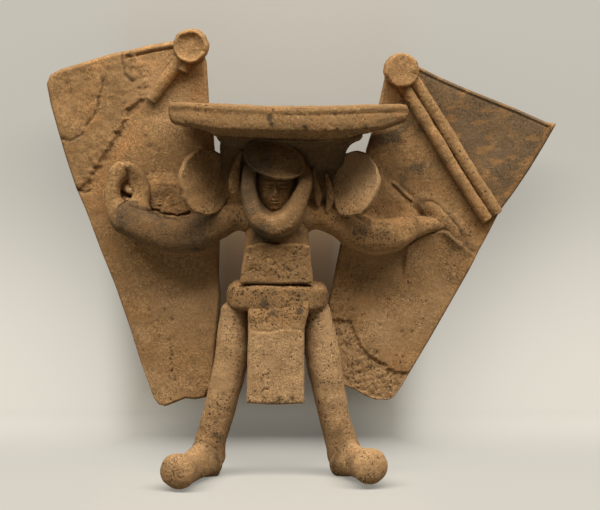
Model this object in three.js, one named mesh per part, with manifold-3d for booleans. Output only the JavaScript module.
// A hand-built fired-clay figure: a standing person in an animal-mouth helmet and a wide plank
// headdress, arms raised, with a large flat slab wing behind each arm.
// Millimetres, +Z up, the front faces -Y. X = 0 is the figure's own midline while it is being
// built; at the end the group is moved so that the origin is the bottom centre of the whole.
// "Left" and "right" are the viewer's, who stands in front of the figure.
import * as THREE from "three";
import { mergeVertices } from "three/addons/utils/BufferGeometryUtils.js";
import Module from "manifold-3d";

const wasm = await Module();
wasm.setup();

// Clay
const SEAM = 0.3; // clearance at each luted joint between two pieces of clay
const BLUNT_END = 0.75; // length of a roll's rounded end, as a share of its half thickness
const CLAY = new THREE.Color(0.42, 0.27, 0.15);

// Heights that the figure is set out from
const HIP_HEIGHT = 111; // centre of the hip belt above the bench
const HIP_TO_SHOULDER = 47;
const SHOULDER_HEIGHT = HIP_HEIGHT + HIP_TO_SHOULDER;

// Wing slabs: each stands behind an arm, hinged in plan about a line beside the body
const WING_THICK = 5;
const WING_EDGE = 0.9; // rounding of the slab's edges
const WING_SWEEP = THREE.MathUtils.degToRad(8); // how far the outer side lies back
const WING_INNER_X = 30; // the plan line that the sweep turns about
const WING_FRONT_Y = 9; // the front face at that line

// The knob near the top corner of each slab, as distance from the midline and height above the
// shoulders
const LEFT_KNOB = { across: 50.5, rise: 101.5 };
const RIGHT_KNOB = { across: 74, rise: 87.5 };
const KNOB_RADIUS = 10.2;
const KNOB_THICK = 8;
const KNOB_DRAFT = 0.6; // how much narrower a knob's front is than its back

// Front-view outlines of the slabs, measured like the knobs, which sit on the top corners
const LEFT_WING_OUTLINE = [
  [140, 78], [137, 84], [131, 87], [112, 93], [88, 99],
  [LEFT_KNOB.across + 12.5, LEFT_KNOB.rise + 2.5], [LEFT_KNOB.across - 5.5, LEFT_KNOB.rise],
  [42, 82], [38, 47], [36, 12], [35, -16], [36, -37], [33, -53], [33, -84], [39, -102],
  [44, -113], [56, -114], [63, -116.5], [69, -119], [73, -118], [76, -113], [90, -72],
  [108, -23], [123, 16], [133, 49], [138, 66],
];
const RIGHT_WING_OUTLINE = [
  [RIGHT_KNOB.across - 9, RIGHT_KNOB.rise + 6.5], [RIGHT_KNOB.across + 11, RIGHT_KNOB.rise + 2.5],
  [98, 83], [128, 70], [156, 58], [164, 54], [170, 53.5], [163, 41],
  [145, 12], [130, -12], [118, -35], [93, -78], [75, -109], [70, -114.5], [60, -114.5],
  [53, -112], [47, -108], [40, -105], [34, -88], [31, -54], [36, -31], [45, 4], [54, 39],
  [61, 67],
];

// Ribbons hanging from under the knobs
const RIBBON_HALF_WIDTH = 3.7;
const RIBBON_HALF_THICK = 3.3;
const RIBBON_SUNK = 1.0; // how far its back is flattened against the slab
const LEFT_RIBBON_DROP = { across: 25, down: 32 };
const LEFT_STUB_DROP = { across: 5, down: 14 };
const RIGHT_RIBBON_DROP = { across: 56, down: 89 };

// Feet: x, y of the heel and of the ball of the toe, and how far the toe stands off the bench.
// Along the foot: share of the way, height of its middle, half height, half width.
const SOLE_FLAT = 1.8; // how much clay the bench has pressed flat under each foot
const LEFT_FOOT = { heel: [-38, 13], toe: [-57.8, -36], lift: 0 };
const RIGHT_FOOT = { heel: [37.6, 13], toe: [55, -30], lift: 1.4 };
const HEEL_HALF_HEIGHT = 6.8;
const HEEL_HALF_WIDTH = 6.6;
const INSTEP_HALF_HEIGHT = 9;
const TOE_HALF_HEIGHT = 11.4;
const TOE_HALF_WIDTH = 11.9;

// Legs, from the belt to the foot: x, y, share of the hip height, half width, half depth
const LEG_DEPTH = 9.4;
const LEFT_LEG = [
  [-25.5, 0, 0.965, 8.6], [-26, 0, 0.865, 9], [-28, 0, 0.64, 10.1], [-33.5, 2, 0.415, 9.5],
  [-38, 3, 0.27, 8.9], [-42.5, 0, 0.14, 9.4],
];
const RIGHT_LEG = [
  [24, 0, 0.965, 8.2], [25, 0, 0.865, 8.6], [27.5, 0, 0.665, 10.6], [32.3, 2, 0.425, 9.6],
  [36, 3, 0.27, 8.8], [41, 0, 0.145, 9.4],
];

// Hips and loincloth
const BELT_HALF_HEIGHT = 8.8;
const BELT_HALF_DEPTH = 15.5;
const BELT_HALF_WIDTH = 30.5;
const BELT_END_GIRTH = 0.9; // its girth near the ends, as a share of the middle's
const APRON_THICK = 5;
const APRON_OVERHANG = 1.2; // the apron's front stands this far proud of the belt
const APRON_HALF_WIDTH = 17.2;
const APRON_RISE = 4; // its top above the middle of the belt
const APRON_DROP = 63; // its foot below the middle of the belt
const PLATE_CORNER = 4; // the cut-off upper corners of the apron and of the chest panel
const PLATE_EDGE = 0.8; // rounding of the apron's and the chest panel's edges

// Torso and its front panel
const WAIST_HALF_WIDTH = 21.5;
const NECK_HALF_WIDTH = 15.6;
const TORSO_HALF_DEPTH = 12.5;
const PANEL_THICK = 3.4;
const PANEL_BEDDED = 0.4; // how deep the panel is pressed into the torso
const PANEL_HEIGHT = 24.6;
const PANEL_FOOT_HALF = 22;
const PANEL_TOP_HALF = 19.2;
const PANEL_UPRIGHT = 10; // height over which its sides are nearly upright
const PANEL_DRAFT = 1; // how much narrower it is at that height

// Arms: x, y, height above the shoulder line, half width seen from the front, half depth
const LEFT_ARM = [
  [-12, 1, 2, 9, 9], [-25, 1, 1, 9, 9], [-36, 1.5, -3.5, 10.4, 10], [-48, 2, -9.5, 11.2, 10.6],
  [-60, 3, -11.5, 11, 10.6], [-72, 4.5, -9, 10.8, 10.4], [-84, 6.5, -4.5, 10, 9.4],
  [-91, 8, 0.5, 8.4, 8],
];
const RIGHT_ARM = [
  [12, 1, 2, 9, 9], [25, 1, 2, 9, 9], [38, 1.5, -2.5, 10.2, 10], [48, 2, -8.5, 11.2, 10.6],
  [58, 3, -12, 11, 10.6], [68, 4, -11.5, 10.4, 10], [77, 5.5, -7.5, 8.8, 9], [83, 7, -3.5, 8, 8],
];
// Each hand is a pincer: four fingers fused in one blade, and a thumb, round a grip hole.
// Their places are measured from the end of the arm's line.
const LEFT_FINGERS = [
  [-3, 0, -0.5, 6.4, 6.6], [-7.8, 0, 9.5, 5, 6.4], [-7, -1, 19.5, 4.6, 5.8], [-2, -2, 29, 3, 4.2],
];
const LEFT_THUMB = [
  [7.5, -1, -0.5, 6, 6.4], [10, -0.5, 9.5, 4.8, 6], [8.5, -1, 19.5, 4, 5], [4.7, -2, 27, 2.4, 3.6],
];
const RIGHT_THUMB = [
  [-2, 0, 6, 5.5, 6.4], [5.5, 0.5, 10.5, 4.2, 6], [13, 0.5, 8.5, 3.2, 5.2], [18.5, 0, 2, 2, 4],
];
const RIGHT_FINGERS = [
  [-2, 0, -4.5, 6, 6.4], [5, 0, -3.9, 3.8, 6], [12, 0, -3.9, 2.8, 5], [18, 0, -2.9, 1.8, 4],
];
// Clay pressed into the angle between each arm and the slab behind it, outlined like the slabs
const LEFT_PATCH_OUTLINE = [[52, -5], [66, -6], [80, 0], [80, 18], [74, 25], [62, 27], [52, 20]];
const RIGHT_PATCH_OUTLINE = [
  [52, -5], [66, -6], [78, 0], [80, 8], [76, 16], [68, 24], [58, 26], [50, 18],
];
const PATCH_THICK = 6;

// Headdress: a plank on a flaring support that stands behind the head
const PLANK_RISE = 68.4; // its top above the shoulder line
const PLANK_FRONT_Y = -37;
const PLANK_BACK_Y = 7;
const PLANK_BACK_DROP = 2; // how much lower the top is at the back
const PLANK_BOW = 13; // how much further back the front is at each end than in the middle
const PLANK_BOW_POWER = 1.6; // the bow grows as this power of the way to the end
const PLANK_STRAIGHT = 20; // half the length of the middle part that isn't bowed
const PLANK_BEVEL = 2.4;
const PLANK_UNDERCUT = 6; // how far back the lower band of the front slopes
const PLANK_LEFT_X = -63.2;
const PLANK_RIGHT_X = 77.5;
const PLANK_HEIGHT = 20;
// Share of the way along, then shares of its height: how far the top rises, how far down the
// front face ends, how far down the underside is
const PLANK_STATIONS = [
  [0, 0, 0.34, 0.4], [0.023, 0.08, 0.48, 0.56], [0.1365, 0.07, 0.575, 0.715],
  [0.229, 0.04, 0.655, 0.89], [0.449, -0.01, 0.695, 0.965], [0.691, 0, 0.7, 0.98],
  [0.762, 0.01, 0.68, 0.905], [0.8615, 0.025, 0.62, 0.725], [0.975, 0.025, 0.42, 0.5],
  [1, -0.09, 0.28, 0.34],
];
// x, y, height above the shoulder line, half width, half depth
const SUPPORT = [
  [1, 4, -2, 25, 7.4], [1.5, 3, 12, 33, 8.4], [2, 1, 32, 35.2, 9], [3.5, -1.5, 43, 38, 10.5],
  [3.8, -5, 52, 41, 12],
];
const SUPPORT_FRONT_Y = SUPPORT[2][1] - SUPPORT[2][4];

// Helmet: an open animal mouth round the face, a hood behind it and an upper jaw above it
const MOUTH_RISE = 18.5; // centre of the open mouth above the shoulder line
const MOUTH = { x: -0.5, y: -17, z: SHOULDER_HEIGHT + MOUTH_RISE };
const RING_HALF_WIDTH = 16.6;
const RING_HALF_HEIGHT = 19.5;
const RING_CHEEK = 4.3; // half thickness of the roll at the cheeks
const RING_CHIN = 6.2; // half thickness of the roll at the chin
const RING_HALF_DEPTH = 6.5;
const HOOD_WALL = 4;
const HOOD_STANDS_OUT = 1.9; // the hood's outside beyond the middle of the roll
const HOOD_BEDDED = 3; // how deep the hood and the head are pressed into the support
const HEAD_HALF_WIDTH = 12.4;
const HEAD_HALF_HEIGHT = 16;
const HEAD_HALF_DEPTH = 8;
// Nose, brow and lips: x, distance behind the front of the face, height above its middle, half
// height or width, half depth
const NOSE = [[0, 1.6, 5, 1.3, 1.6], [0, 0.6, 0, 1.8, 1.9], [0, 0.4, -3.4, 2.6, 2.2]];
const BROW = [[-7.5, 3, 6, 1.3, 1.2], [0, 1, 7, 1.4, 1.4], [7.5, 3, 6, 1.3, 1.2]];
const LIPS = [[-4, 2, -8.2, 1.2, 1], [0, 1.4, -8.4, 1.5, 1.3], [4, 2, -8.2, 1.2, 1]];
const JAW_HALF_WIDTH = 18;
const JAW_HALF_HEIGHT = 11.2;
const JAW_HALF_DEPTH = 7;
const JAW_TILT = THREE.MathUtils.degToRad(16);
const JAW_NOD = THREE.MathUtils.degToRad(20);
const JAW_FORWARD = 2; // its middle in front of the roll's
const JAW_ASIDE = -0.7;

// Ear discs, turned in towards the face; x, y and height of the inner edge, which is seated
const DISC_HALF_WIDTH = 15.8;
const DISC_HALF_HEIGHT = 19.6;
const DISC_THICK = 5.5;
const DISC_LEAN = THREE.MathUtils.degToRad(8); // how far each disc leans back
const LEFT_DISC = { seat: [-32.1, 1.5, 21], out: -1, turn: THREE.MathUtils.degToRad(38) };
const RIGHT_DISC = { seat: [33.5, -1, 21], out: 1, turn: THREE.MathUtils.degToRad(28) };

// Locks hanging beside the helmet: x, y, height above the shoulder line, half width, half depth
const LEFT_LOCK = [[-23, -4, 41, 2.4, 4.4], [-25.6, -6.5, 29, 2.8, 4], [-24.6, -8.5, 17, 2.4, 3.2]];
const RIGHT_LOCK = [[21, -6, 26, 2, 3.6], [23.5, -7.5, 17, 2.2, 3.4], [25, -8, 8.5, 1.8, 3]];
const RIGHT_REAR_LOCK = [[28, -5, 28, 2.2, 4], [29.5, -6.5, 18, 2.6, 3.6], [32, -6.5, 7.5, 2.2, 3.4]];

// A closed geometry as a solid, with its faces turned out if they point in
function solid(geometry) {
  const bare = geometry.index ? geometry.toNonIndexed() : geometry.clone();
  for (const name of Object.keys(bare.attributes)) {
    if (name !== "position") bare.deleteAttribute(name);
  }
  const merged = mergeVertices(bare, 1e-4);
  const triVerts = new Uint32Array(merged.index.array);
  const make = () =>
    new wasm.Manifold(
      new wasm.Mesh({ numProp: 3, vertProperties: merged.attributes.position.array, triVerts }),
    );
  const made = make();
  if (made.volume() > 0) return made;
  for (let i = 0; i < triVerts.length; i += 3) {
    [triVerts[i + 1], triVerts[i + 2]] = [triVerts[i + 2], triVerts[i + 1]];
  }
  return make();
}

// The first solid with its neighbours, already swollen by the seam, taken out of it
function cut(body, ...neighbours) {
  return neighbours.reduce((left, other) => left.subtract(other), body);
}

function piece(name, made) {
  const raw = made.getMesh();
  const points = new Float32Array(raw.numVert * 3);
  for (let i = 0; i < raw.numVert; i++) {
    for (let k = 0; k < 3; k++) points[i * 3 + k] = raw.vertProperties[i * raw.numProp + k];
  }
  const geometry = new THREE.BufferGeometry();
  geometry.setAttribute("position", new THREE.BufferAttribute(points, 3));
  geometry.setIndex(new THREE.BufferAttribute(new Uint32Array(raw.triVerts), 1));
  geometry.computeVertexNormals();
  const material = new THREE.MeshStandardMaterial({ color: CLAY, roughness: 0.9, metalness: 0 });
  const mesh = new THREE.Mesh(geometry, material);
  mesh.name = name;
  return mesh;
}

// A skin through rings of equal point counts, closed by a fan to a point at each end
function skin(rings, firstPoint, lastPoint) {
  const sides = rings[0].length;
  const points = [...rings.flat(), firstPoint, lastPoint];
  const first = points.length - 2;
  const last = points.length - 1;
  const index = [];
  for (let r = 0; r + 1 < rings.length; r++) {
    for (let s = 0; s < sides; s++) {
      const a = r * sides + s;
      const b = r * sides + ((s + 1) % sides);
      index.push(a, b, b + sides, a, b + sides, a + sides);
    }
  }
  const start = (rings.length - 1) * sides;
  for (let s = 0; s < sides; s++) {
    const next = (s + 1) % sides;
    index.push(first, next, s, last, start + s, start + next);
  }
  const geometry = new THREE.BufferGeometry().setFromPoints(points);
  geometry.setIndex(index);
  return geometry;
}

// One ring round a centre: a superellipse, rounder at power 2 and squarer above it
function ring(centre, across, through, wide, deep, sides, power = 2) {
  const points = [];
  for (let i = 0; i < sides; i++) {
    const a = (2 * Math.PI * i) / sides;
    const c = Math.sign(Math.cos(a)) * Math.abs(Math.cos(a)) ** (2 / power);
    const s = Math.sign(Math.sin(a)) * Math.abs(Math.sin(a)) ** (2 / power);
    const point = centre.clone().addScaledVector(across, wide * c);
    points.push(point.addScaledVector(through, deep * s));
  }
  return points;
}

// A rolled or modelled length of clay along a smooth line, with round ends.
// Stations are x, y, z, half width seen from the front, half depth.
function limb(stations, grow = 0, { sides = 14, steps = 3, power = 2, round = BLUNT_END } = {}) {
  const line = new THREE.CatmullRomCurve3(stations.map((s) => new THREE.Vector3(s[0], s[1], s[2])));
  const girth = new THREE.CatmullRomCurve3(stations.map((s) => new THREE.Vector3(s[3], s[4], 0)));
  const count = (stations.length - 1) * steps;
  const rings = [];
  const at = (t, along = 0, shrink = 1) => {
    const centre = line.getPoint(t);
    const direction = line.getTangent(t).normalize();
    const through = new THREE.Vector3(0, 1, 0);
    through.addScaledVector(direction, -through.dot(direction)).normalize();
    const across = new THREE.Vector3().crossVectors(through, direction);
    const size = girth.getPoint(t);
    centre.addScaledVector(direction, along);
    const wide = (size.x + grow) * shrink;
    const deep = (size.y + grow) * shrink;
    return ring(centre, across, through, wide, deep, sides, power);
  };
  const capLength = (t) => round * Math.min(girth.getPoint(t).x, girth.getPoint(t).y) + grow;
  const capAngles = [Math.PI / 3, Math.PI / 6];
  for (const a of capAngles) rings.push(at(0, -capLength(0) * Math.sin(a), Math.cos(a)));
  for (let i = 0; i <= count; i++) rings.push(at(i / count));
  for (const a of capAngles.slice().reverse()) {
    rings.push(at(1, capLength(1) * Math.sin(a), Math.cos(a)));
  }
  const tip = (t, along) => line.getPoint(t).addScaledVector(line.getTangent(t).normalize(), along);
  return solid(skin(rings, tip(0, -capLength(0)), tip(1, capLength(1))));
}

// Wing slabs. The side is -1 for the figure's wing at low X and 1 for the one at high X.
const wingOut = (side) =>
  new THREE.Vector3(side * Math.cos(WING_SWEEP), Math.sin(WING_SWEEP), 0);
const wingBack = (side) =>
  new THREE.Vector3(-side * Math.sin(WING_SWEEP), Math.cos(WING_SWEEP), 0);

// A point on a slab's front face, from its front-view place: across and above the shoulders
function onWing(side, across, rise, proud = 0) {
  const run = (across - WING_INNER_X) / Math.cos(WING_SWEEP);
  return new THREE.Vector3(side * WING_INNER_X, WING_FRONT_Y, SHOULDER_HEIGHT + rise)
    .addScaledVector(wingOut(side), run)
    .addScaledVector(wingBack(side), -proud);
}

// A flat plate parallel to a wing slab, from proud of its front face to deep behind it
function plate(side, outline, proud, deep, edge, grow = 0) {
  const shape = new THREE.Shape(
    outline.map(([across, rise]) => {
      const run = (across - WING_INNER_X) / Math.cos(WING_SWEEP);
      return new THREE.Vector2(run, rise);
    }),
  );
  const geometry = new THREE.ExtrudeGeometry(shape, {
    depth: proud + deep - 2 * edge,
    bevelThickness: edge + grow,
    bevelSize: edge + grow,
    bevelOffset: -edge,
    bevelSegments: 1,
  });
  const place = new THREE.Matrix4().makeBasis(wingOut(side), new THREE.Vector3(0, 0, 1), wingBack(side));
  const corner = onWing(side, WING_INNER_X, 0, proud - edge);
  geometry.applyMatrix4(place.setPosition(corner));
  return solid(geometry);
}

const leftWing = (grow) => plate(-1, LEFT_WING_OUTLINE, 0, WING_THICK, WING_EDGE, grow);
const rightWing = (grow) => plate(1, RIGHT_WING_OUTLINE, 0, WING_THICK, WING_EDGE, grow);

// A round knob standing on a slab's front, its axis square to the slab
function knob(side, { across, rise }, grow = 0) {
  const geometry = new THREE.CylinderGeometry(
    KNOB_RADIUS - KNOB_DRAFT + grow, KNOB_RADIUS + grow, KNOB_THICK + 2 * grow, 24,
  );
  const back = wingBack(side);
  geometry.applyQuaternion(
    new THREE.Quaternion().setFromUnitVectors(new THREE.Vector3(0, 1, 0), back.clone().negate()),
  );
  const middle = onWing(side, across, rise, KNOB_THICK / 2 + SEAM);
  geometry.translate(middle.x, middle.y, middle.z);
  return solid(geometry);
}

// A rolled ribbon of clay lying on a slab, from under its knob down and outwards
function ribbon(side, start, drop, shift, grow = 0) {
  const length = Math.hypot(drop.across, drop.down);
  const overAcross = (drop.down / length) * shift;
  const overRise = (drop.across / length) * shift;
  const proud = RIBBON_HALF_THICK - RIBBON_SUNK;
  const station = (along) => {
    const p = onWing(
      side,
      start.across + overAcross + (drop.across / length) * along,
      start.rise + overRise - (drop.down / length) * along,
      proud,
    );
    return [p.x, p.y, p.z, RIBBON_HALF_WIDTH, RIBBON_HALF_THICK];
  };
  const first = KNOB_RADIUS * 0.6;
  return limb(
    [station(first), station((first + length) / 2), station(length)],
    grow,
    { sides: 12, steps: 3, round: 0.35 },
  );
}

const leftKnob = (grow) => knob(-1, LEFT_KNOB, grow);
const rightKnob = (grow) => knob(1, RIGHT_KNOB, grow);

// A foot: from a small heel over a high instep to a large round toe, flat underneath
function foot({ heel, toe, lift }, grow = 0) {
  const station = (share, halfHeight, halfWidth) => [
    heel[0] + (toe[0] - heel[0]) * share,
    heel[1] + (toe[1] - heel[1]) * share,
    lift * share + halfHeight - SOLE_FLAT,
    halfHeight,
    halfWidth,
  ];
  const body = limb(
    [
      station(0, HEEL_HALF_HEIGHT, HEEL_HALF_WIDTH),
      station(0.33, INSTEP_HALF_HEIGHT, (HEEL_HALF_WIDTH + TOE_HALF_WIDTH) / 2 - 0.5),
      station(0.66, INSTEP_HALF_HEIGHT, (HEEL_HALF_WIDTH + TOE_HALF_WIDTH) / 2),
      station(1, TOE_HALF_HEIGHT, TOE_HALF_WIDTH),
    ],
    grow,
    { round: 1 },
  );
  const reach = 20 * TOE_HALF_HEIGHT;
  const bench = new THREE.BoxGeometry(reach, reach, 2 * TOE_HALF_HEIGHT);
  const slope = new THREE.Matrix4();
  const run = new THREE.Vector3(toe[0] - heel[0], toe[1] - heel[1], lift);
  const up = new THREE.Vector3(0, 0, 1).addScaledVector(run, -lift / run.lengthSq()).normalize();
  const along = run.clone().normalize();
  slope.makeBasis(new THREE.Vector3().crossVectors(along, up), along, up);
  slope.setPosition(heel[0] - along.x * HEEL_HALF_HEIGHT, heel[1] - along.y * HEEL_HALF_HEIGHT, 0);
  bench.translate(0, 0, -TOE_HALF_HEIGHT - grow);
  bench.applyMatrix4(slope);
  return body.subtract(solid(bench));
}
const leftFoot = (grow) => foot(LEFT_FOOT, grow);
const rightFoot = (grow) => foot(RIGHT_FOOT, grow);

const belt = (grow) => {
  const end = BELT_HALF_WIDTH - BELT_HALF_HEIGHT * BLUNT_END;
  const station = (x, girth) => [x, 0, HIP_HEIGHT, BELT_HALF_HEIGHT * girth, BELT_HALF_DEPTH * girth];
  return limb(
    [
      station(-end, BELT_END_GIRTH), station(-BELT_HALF_WIDTH / 3, 1),
      station(BELT_HALF_WIDTH / 3, 1), station(end, BELT_END_GIRTH),
    ],
    grow,
    { sides: 18, power: 3.2 },
  );
};

// An upright plate facing the front, between two Y values
function frontPlate(outline, frontY, thick, edge, grow = 0) {
  const shape = new THREE.Shape(outline.map(([x, z]) => new THREE.Vector2(x, z)));
  const geometry = new THREE.ExtrudeGeometry(shape, {
    depth: thick - 2 * edge,
    bevelThickness: edge + grow,
    bevelSize: edge + grow,
    bevelOffset: -edge,
    bevelSegments: 1,
  });
  geometry.rotateX(Math.PI / 2);
  geometry.translate(0, frontY + thick - edge, 0);
  return solid(geometry);
}

const apron = (grow) => {
  const top = HIP_HEIGHT + APRON_RISE;
  const low = HIP_HEIGHT - APRON_DROP;
  const w = APRON_HALF_WIDTH;
  return frontPlate(
    [
      [-w, low], [w, low], [w, top - PLATE_CORNER], [w - PLATE_CORNER, top],
      [PLATE_CORNER - w, top], [-w, top - PLATE_CORNER],
    ],
    -BELT_HALF_DEPTH - APRON_OVERHANG, APRON_THICK, PLATE_EDGE, grow,
  );
};

const torso = (grow) => {
  const rise = (share) => HIP_HEIGHT + HIP_TO_SHOULDER * share;
  return limb(
    [
      [0, 0, rise(0.08), WAIST_HALF_WIDTH, TORSO_HALF_DEPTH],
      [0, 0, rise(0.4), WAIST_HALF_WIDTH - 1, TORSO_HALF_DEPTH],
      [0, 0, rise(0.72), (WAIST_HALF_WIDTH + NECK_HALF_WIDTH) / 2, TORSO_HALF_DEPTH - 0.5],
      [0, 0, rise(1), NECK_HALF_WIDTH + 2, TORSO_HALF_DEPTH - 1],
      [0, 0, rise(1.17), NECK_HALF_WIDTH, TORSO_HALF_DEPTH - 2],
    ],
    grow,
    { sides: 18, power: 3.2, round: 0.3 },
  );
};
const panel = (grow) => {
  const low = HIP_HEIGHT + BELT_HALF_HEIGHT + 2 * SEAM;
  const top = low + PANEL_HEIGHT;
  const side = PANEL_FOOT_HALF - PANEL_DRAFT;
  const corner = PANEL_TOP_HALF - PLATE_CORNER;
  return frontPlate(
    [
      [-PANEL_FOOT_HALF, low], [PANEL_FOOT_HALF, low], [side, low + PANEL_UPRIGHT],
      [PANEL_TOP_HALF, top - PLATE_CORNER], [corner, top], [-corner, top],
      [-PANEL_TOP_HALF, top - PLATE_CORNER], [-side, low + PANEL_UPRIGHT],
    ],
    PANEL_BEDDED - TORSO_HALF_DEPTH - PANEL_THICK, PANEL_THICK, PLATE_EDGE, grow,
  );
};

// Stations measured from a base point, as places in the figure
const from = ([x, y, z], stations) => stations.map((s) => [x + s[0], y + s[1], z + s[2], s[3], s[4]]);
const shoulders = [0, 0, SHOULDER_HEIGHT];
const leftArmLine = from(shoulders, LEFT_ARM);
const rightArmLine = from(shoulders, RIGHT_ARM);
const leftArm = (grow) => limb(leftArmLine, grow);
const rightArm = (grow) => limb(rightArmLine, grow);

// The headdress plank: a bar whose front has a rounded top edge and an undercut lower band
function plank(grow = 0) {
  const leftX = PLANK_LEFT_X - grow;
  const rightX = PLANK_RIGHT_X + grow;
  const level = SHOULDER_HEIGHT + PLANK_RISE;
  const back = PLANK_BACK_Y + grow;
  const middleX = (PLANK_LEFT_X + PLANK_RIGHT_X) / 2;
  const bowed = (PLANK_RIGHT_X - PLANK_LEFT_X) / 2 - PLANK_STRAIGHT;
  const rings = PLANK_STATIONS.map(([share, rise, faceDown, underDown]) => {
    const x = leftX + (rightX - leftX) * share;
    const beyond = Math.max(Math.abs(x - middleX) - PLANK_STRAIGHT, 0) / bowed;
    const front = PLANK_FRONT_Y + PLANK_BOW * beyond ** PLANK_BOW_POWER - grow;
    const top = level + rise * PLANK_HEIGHT + grow;
    const face = level - faceDown * PLANK_HEIGHT - grow;
    const low = level - underDown * PLANK_HEIGHT - grow;
    const rear = top - PLANK_BACK_DROP;
    return [
      [back, rear - PLANK_BEVEL], [back - PLANK_BEVEL, rear], [front + PLANK_BEVEL, top],
      [front, top - PLANK_BEVEL], [front, face], [front + PLANK_UNDERCUT, low],
      [back - PLANK_BEVEL, low], [back, low + PLANK_BEVEL],
    ].map(([y, z]) => new THREE.Vector3(x, y, z));
  });
  const middle = (points) =>
    points.reduce((sum, p) => sum.add(p), new THREE.Vector3()).divideScalar(points.length);
  return solid(skin(rings, middle(rings[0]), middle(rings[rings.length - 1])));
}

const support = (grow) =>
  limb(from(shoulders, SUPPORT), grow, { sides: 20, steps: 2, power: 2.6, round: 0.3 });

// The helmet's open mouth: a closed roll round the face, thickest at the chin
function mouthRing(grow = 0) {
  const around = 28;
  const rings = [];
  for (let i = 0; i < around; i++) {
    const a = (2 * Math.PI * i) / around;
    const out = new THREE.Vector3(Math.sin(a) / RING_HALF_WIDTH, 0, Math.cos(a) / RING_HALF_HEIGHT);
    out.normalize();
    const chin = Math.max(0, -Math.cos(a)) ** 2;
    const thick = RING_CHEEK + (RING_CHIN - RING_CHEEK) * chin + grow;
    const centre = new THREE.Vector3(
      MOUTH.x + RING_HALF_WIDTH * Math.sin(a), MOUTH.y, MOUTH.z + RING_HALF_HEIGHT * Math.cos(a),
    );
    rings.push(ring(centre, out, new THREE.Vector3(0, 1, 0), thick, RING_HALF_DEPTH + grow, 10));
  }
  const points = rings.flat();
  const sides = rings[0].length;
  const index = [];
  for (let r = 0; r < around; r++) {
    for (let s = 0; s < sides; s++) {
      const a = r * sides + s;
      const b = r * sides + ((s + 1) % sides);
      const c = ((r + 1) % around) * sides + ((s + 1) % sides);
      const d = ((r + 1) % around) * sides + s;
      index.push(a, b, c, a, c, d);
    }
  }
  const geometry = new THREE.BufferGeometry().setFromPoints(points);
  geometry.setIndex(index);
  return solid(geometry);
}

// An upright oval bar along Y, for the hood and the hollow inside it
function ovalBar(halfWidth, halfHeight, frontY, backY, sides = 28) {
  const at = (y) =>
    ring(
      new THREE.Vector3(MOUTH.x, y, MOUTH.z), new THREE.Vector3(1, 0, 0), new THREE.Vector3(0, 0, 1),
      halfWidth, halfHeight, sides,
    );
  const end = (y) => new THREE.Vector3(MOUTH.x, y, MOUTH.z);
  return solid(skin([at(frontY), at(backY)], end(frontY), end(backY)));
}
const hoodHalfWidth = RING_HALF_WIDTH + HOOD_STANDS_OUT;
const hoodHalfHeight = RING_HALF_HEIGHT + HOOD_STANDS_OUT;
const hoodBackY = SUPPORT_FRONT_Y + HOOD_BEDDED;
const hoodOuter = (grow = 0) =>
  ovalBar(hoodHalfWidth + grow, hoodHalfHeight + grow, MOUTH.y - grow, hoodBackY + grow);
const hood = () =>
  hoodOuter().subtract(
    ovalBar(
      hoodHalfWidth - HOOD_WALL, hoodHalfHeight - HOOD_WALL,
      MOUTH.y - RING_HALF_DEPTH, hoodBackY + HOOD_BEDDED,
    ),
  );

// The head inside: an egg with a plain nose, brow and lips
function head(grow = 0) {
  const egg = new THREE.SphereGeometry(1, 18, 12);
  egg.scale(HEAD_HALF_WIDTH + grow, HEAD_HALF_DEPTH + grow, HEAD_HALF_HEIGHT + grow);
  const middleY = SUPPORT_FRONT_Y + HOOD_BEDDED - HEAD_HALF_DEPTH / 3;
  egg.translate(MOUTH.x, middleY, MOUTH.z);
  const face = [MOUTH.x, middleY - HEAD_HALF_DEPTH, MOUTH.z];
  const roll = (stations) => limb(from(face, stations), grow, { sides: 8, steps: 2 });
  return solid(egg).add(roll(NOSE)).add(roll(BROW)).add(roll(LIPS));
}

// The upper jaw of the helmet: a shallow dome that overhangs the face, lower on one side
function jaw(grow = 0) {
  const dome = new THREE.SphereGeometry(1, 24, 14);
  dome.scale(JAW_HALF_WIDTH + grow, JAW_HALF_DEPTH + grow, JAW_HALF_HEIGHT + grow);
  dome.rotateX(JAW_NOD);
  dome.rotateY(JAW_TILT);
  dome.translate(MOUTH.x + JAW_ASIDE, MOUTH.y - JAW_FORWARD, MOUTH.z + RING_HALF_HEIGHT);
  return solid(dome);
}

// A flat oval disc facing the front, its outer side turned towards the viewer
function disc({ seat, out, turn }, grow = 0) {
  const geometry = new THREE.CylinderGeometry(1, 1, DISC_THICK + 2 * grow, 32);
  geometry.scale(DISC_HALF_WIDTH + grow, 1, DISC_HALF_HEIGHT + grow);
  geometry.rotateX(-DISC_LEAN);
  geometry.translate(out * DISC_HALF_WIDTH, 0, 0);
  geometry.rotateZ(-out * turn);
  geometry.translate(seat[0], seat[1], SHOULDER_HEIGHT + seat[2]);
  return solid(geometry);
}
const leftDisc = (grow) => disc(LEFT_DISC, grow);
const rightDisc = (grow) => disc(RIGHT_DISC, grow);

const lock = (stations, grow) => limb(from(shoulders, stations), grow, { sides: 8, steps: 2 });

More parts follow.
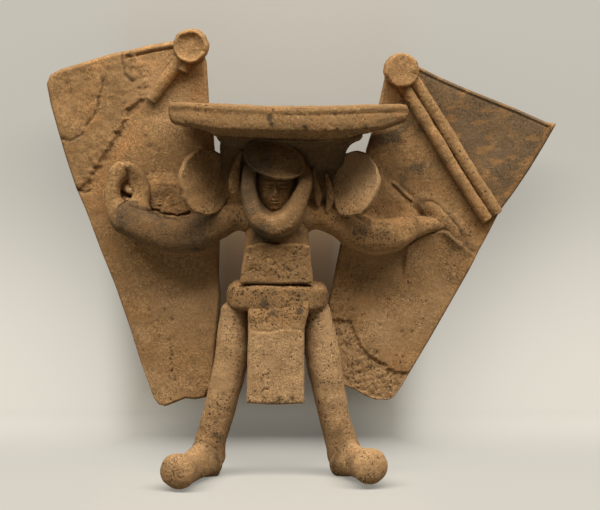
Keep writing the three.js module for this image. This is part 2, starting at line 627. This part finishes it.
const digits = (wrist, stations) => (grow) => limb(from(wrist, stations), grow, { sides: 12 });
const leftWrist = leftArmLine[leftArmLine.length - 1];
const rightWrist = rightArmLine[rightArmLine.length - 1];
const leftFingers = digits(leftWrist, LEFT_FINGERS);
const leftThumb = digits(leftWrist, LEFT_THUMB);
const rightFingers = digits(rightWrist, RIGHT_FINGERS);
const rightThumb = digits(rightWrist, RIGHT_THUMB);
const leftWeb = (grow) => plate(-1, LEFT_PATCH_OUTLINE, PATCH_THICK, 0, WING_EDGE, grow);
const rightWeb = (grow) => plate(1, RIGHT_PATCH_OUTLINE, PATCH_THICK, 0, WING_EDGE, grow);
const leg = (stations, grow) =>
  limb(stations.map(([x, y, share, wide]) => [x, y, share * HIP_HEIGHT, wide, LEG_DEPTH]), grow);
const leftLeg = (grow) => leg(LEFT_LEG, grow);
const rightLeg = (grow) => leg(RIGHT_LEG, grow);
const leftRibbon = (grow) => ribbon(-1, LEFT_KNOB, LEFT_RIBBON_DROP, 0, grow);
const leftStub = (grow) => ribbon(-1, LEFT_KNOB, LEFT_STUB_DROP, 0, grow);
const ribbonShift = RIBBON_HALF_WIDTH + SEAM / 2;
const rightRibbonInner = (grow) => ribbon(1, RIGHT_KNOB, RIGHT_RIBBON_DROP, -ribbonShift, grow);
const rightRibbonOuter = (grow) => ribbon(1, RIGHT_KNOB, RIGHT_RIBBON_DROP, ribbonShift, grow);
const leftLock = (grow) => lock(LEFT_LOCK, grow);
const rightLock = (grow) => lock(RIGHT_LOCK, grow);
const rightRearLock = (grow) => lock(RIGHT_REAR_LOCK, grow);

// Each piece, and the neighbours whose clay it gives way to
const PIECES = [
  ["left_wing_slab", leftWing, []],
  ["right_wing_slab", rightWing, []],
  ["left_wing_knob", leftKnob, [leftWing]],
  ["right_wing_knob", rightKnob, [rightWing]],
  ["left_ribbon", leftRibbon, [leftKnob, leftWing]],
  ["left_ribbon_stub", leftStub, [leftKnob, leftWing, leftRibbon]],
  ["right_ribbon_inner", rightRibbonInner, [rightKnob, rightWing]],
  ["right_ribbon_outer", rightRibbonOuter, [rightKnob, rightWing]],
  ["left_foot", leftFoot, []],
  ["right_foot", rightFoot, []],
  ["hip_belt", belt, []],
  ["left_leg", leftLeg, [belt, leftFoot]],
  ["right_leg", rightLeg, [belt, rightFoot]],
  ["loincloth_apron", apron, [belt]],
  ["torso", torso, [belt]],
  ["chest_panel", panel, [torso, belt]],
  ["left_arm", leftArm, [torso, leftWing]],
  ["right_arm", rightArm, [torso, rightWing]],
  ["left_fingers", leftFingers, [leftArm, leftWing]],
  ["left_thumb", leftThumb, [leftArm, leftFingers, leftWing]],
  ["right_fingers", rightFingers, [rightArm, rightWing]],
  ["right_thumb", rightThumb, [rightArm, rightFingers, rightWing]],
  ["left_arm_web", leftWeb, [leftArm, leftWing, leftThumb, leftFingers, leftDisc]],
  ["right_arm_web", rightWeb, [rightArm, rightWing, rightThumb, rightFingers, rightDisc]],
  ["headdress_plank", plank, [leftWing, rightWing]],
  ["headdress_support", support, [plank, torso, leftArm, rightArm, leftWing, rightWing]],
  ["head", head, [support, torso]],
  ["helmet_jaw_ring", mouthRing, [torso, panel, head, support]],
  ["helmet_shell", hood, [mouthRing, support, torso, leftArm, rightArm, plank]],
  ["helmet_visor", jaw, [mouthRing, hoodOuter, plank, support]],
  ["left_ear_disc", leftDisc, [support, leftArm, leftWing, hoodOuter]],
  ["right_ear_disc", rightDisc, [support, rightArm, rightWing, hoodOuter]],
  ["left_side_lock", leftLock, [hoodOuter, mouthRing, support, leftDisc, leftArm, torso]],
  ["right_side_lock", rightLock, [hoodOuter, mouthRing, support, rightDisc, rightArm, torso]],
  [
    "right_rear_lock", rightRearLock,
    [hoodOuter, mouthRing, support, rightDisc, rightArm, torso, rightLock],
  ],
];

const figure = new THREE.Group();
for (const [name, body, neighbours] of PIECES) {
  figure.add(piece(name, cut(body(0), ...neighbours.map((other) => other(SEAM)))));
}
const box = new THREE.Box3().setFromObject(figure);
figure.position.set(-(box.min.x + box.max.x) / 2, -(box.min.y + box.max.y) / 2, -box.min.z);
export default figure;
